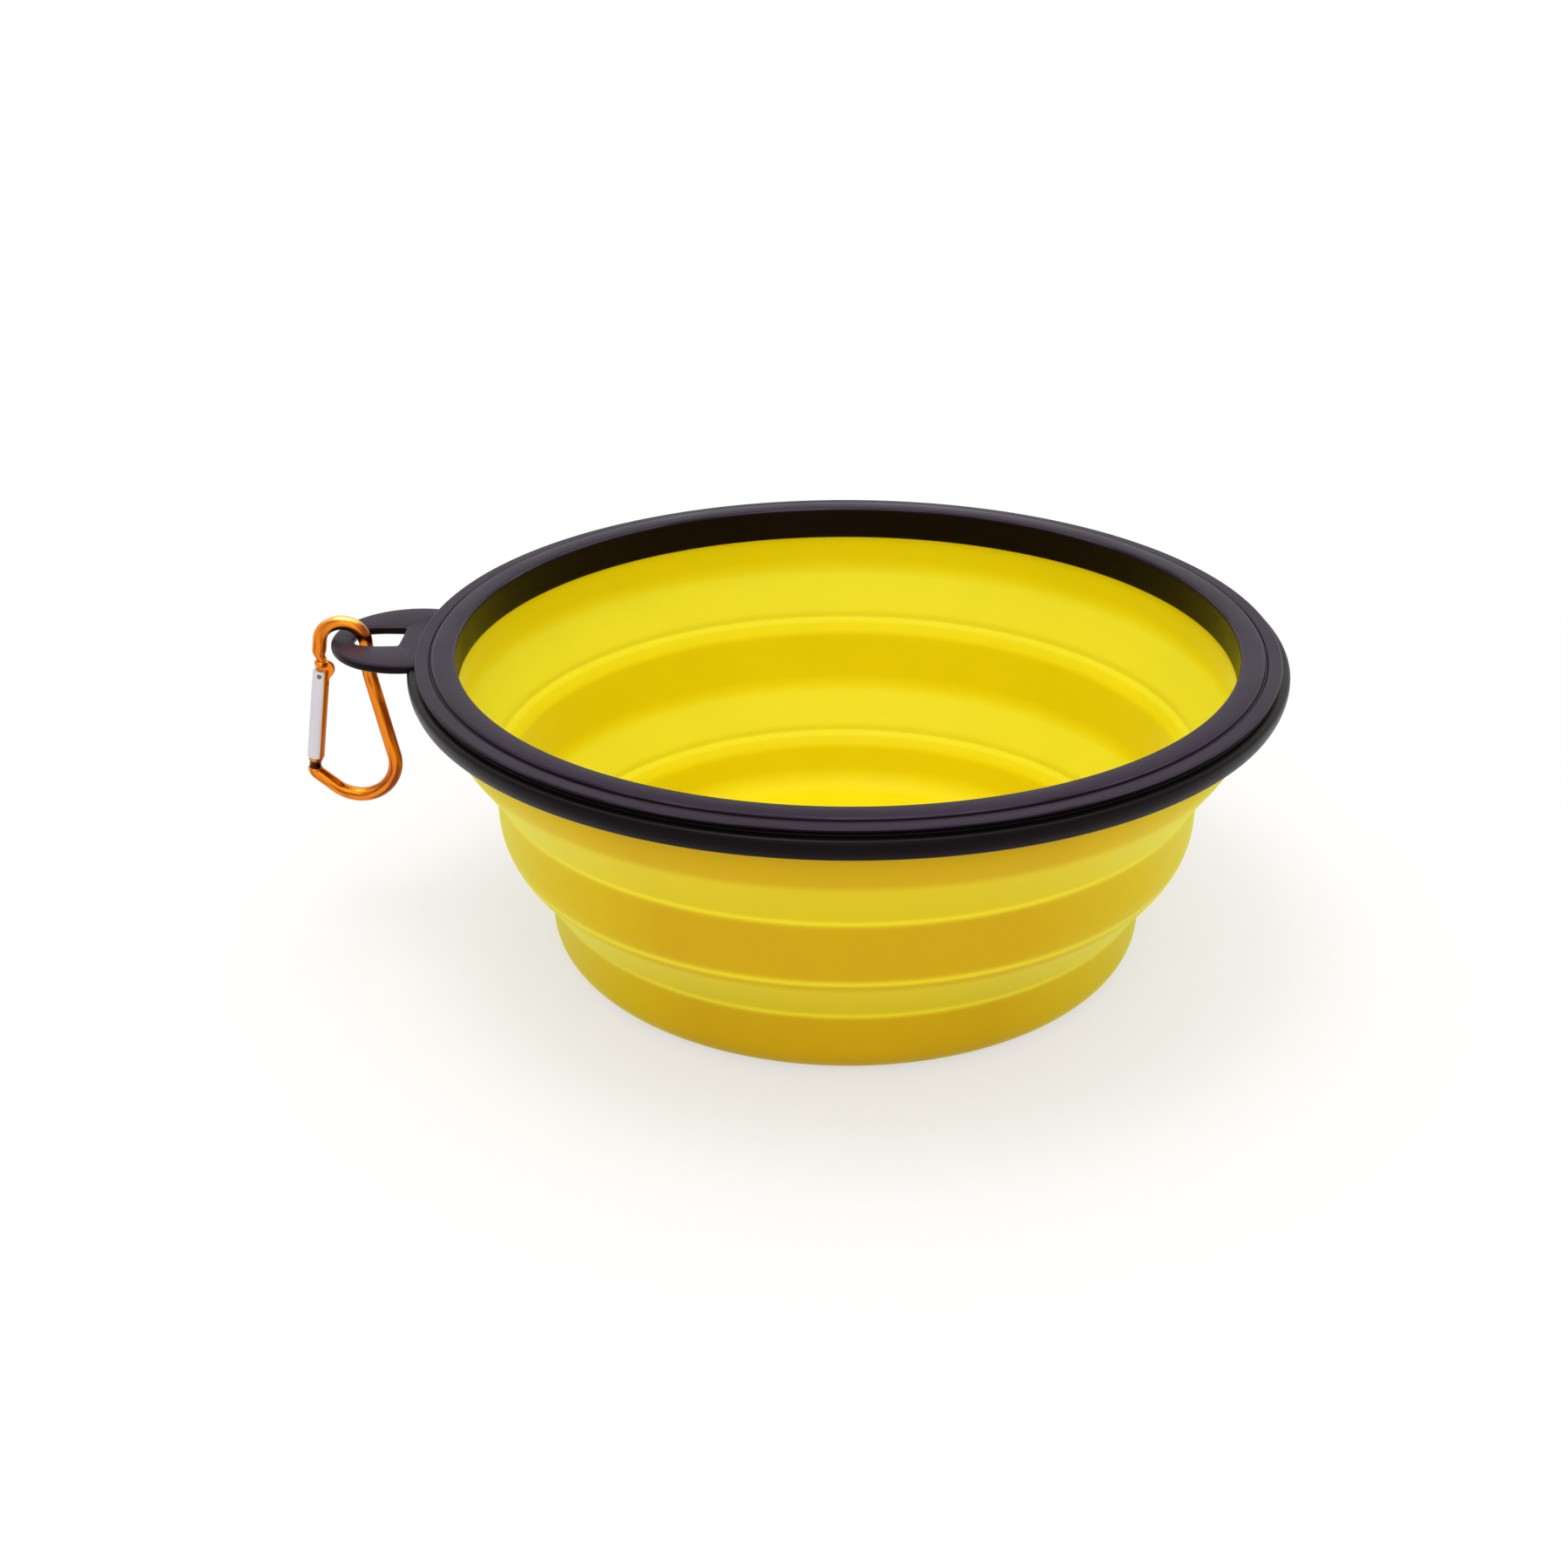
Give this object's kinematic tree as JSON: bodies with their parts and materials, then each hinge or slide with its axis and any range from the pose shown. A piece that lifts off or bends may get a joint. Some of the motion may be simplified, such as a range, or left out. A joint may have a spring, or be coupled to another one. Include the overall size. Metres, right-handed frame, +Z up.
{
  "type": "collapsible pet bowl",
  "caption": "Round stepped silicone bowl that folds flat between its bands, in a hard rim with a hang loop and a small sprung-gate carabiner.",
  "frame": {"origin": "centre of the flat resting face under the base", "axes": "+Z up through the mouth, -X towards the hang loop and the carabiner"},
  "size_m": [0.2057, 0.18, 0.0707],
  "materials": {
    "rim_plastic": "satin charcoal plastic",
    "silicone_band": "soft satin silicone, golden yellow",
    "silicone_fold": "soft satin silicone, lighter yellow where it is thin",
    "orange_aluminium": "orange anodised, bright",
    "bare_aluminium": "brushed bright",
    "steel": "plain wire and pin"
  },
  "bodies": {
    "rim": {"rim_outer_ring": "rim_plastic", "rim_inner_ring": "rim_plastic", "upper_band": "silicone_band", "upper_fold": "silicone_fold"},
    "middle": {"middle_band": "silicone_band", "lower_fold": "silicone_fold"},
    "base": {"base_cup": "silicone_band"},
    "carabiner": {"carabiner_body": "orange_aluminium"},
    "gate": {"carabiner_gate": "bare_aluminium", "gate_rivet": "steel", "gate_spring": "steel"}
  },
  "joints": [
    {"name": "fold_upper", "type": "slide", "parent": "rim", "child": "middle", "axis": [0, 0, 1], "range_m": [0, 0.026], "deforming": ["upper_fold"]},
    {"name": "fold_lower", "type": "slide", "parent": "middle", "child": "base", "axis": [0, 0, 1], "range_m": [0, 0.024], "deforming": ["lower_fold"]},
    {"name": "carabiner_swing", "type": "hinge", "parent": "rim", "child": "carabiner", "pos_m": [-0.10465, 0, 0.06479], "axis": [0, 1, 0], "range_deg": [-35, 215]},
    {"name": "gate_open", "type": "hinge", "parent": "carabiner", "child": "gate", "pos_m": [-0.11033, 0, 0.05771], "axis": [0, -1, 0], "range_deg": [0, 25], "stiffness_Nm_per_rad": 0.01, "springref_deg": -28.65, "deforming": ["gate_spring"]}
  ]
}
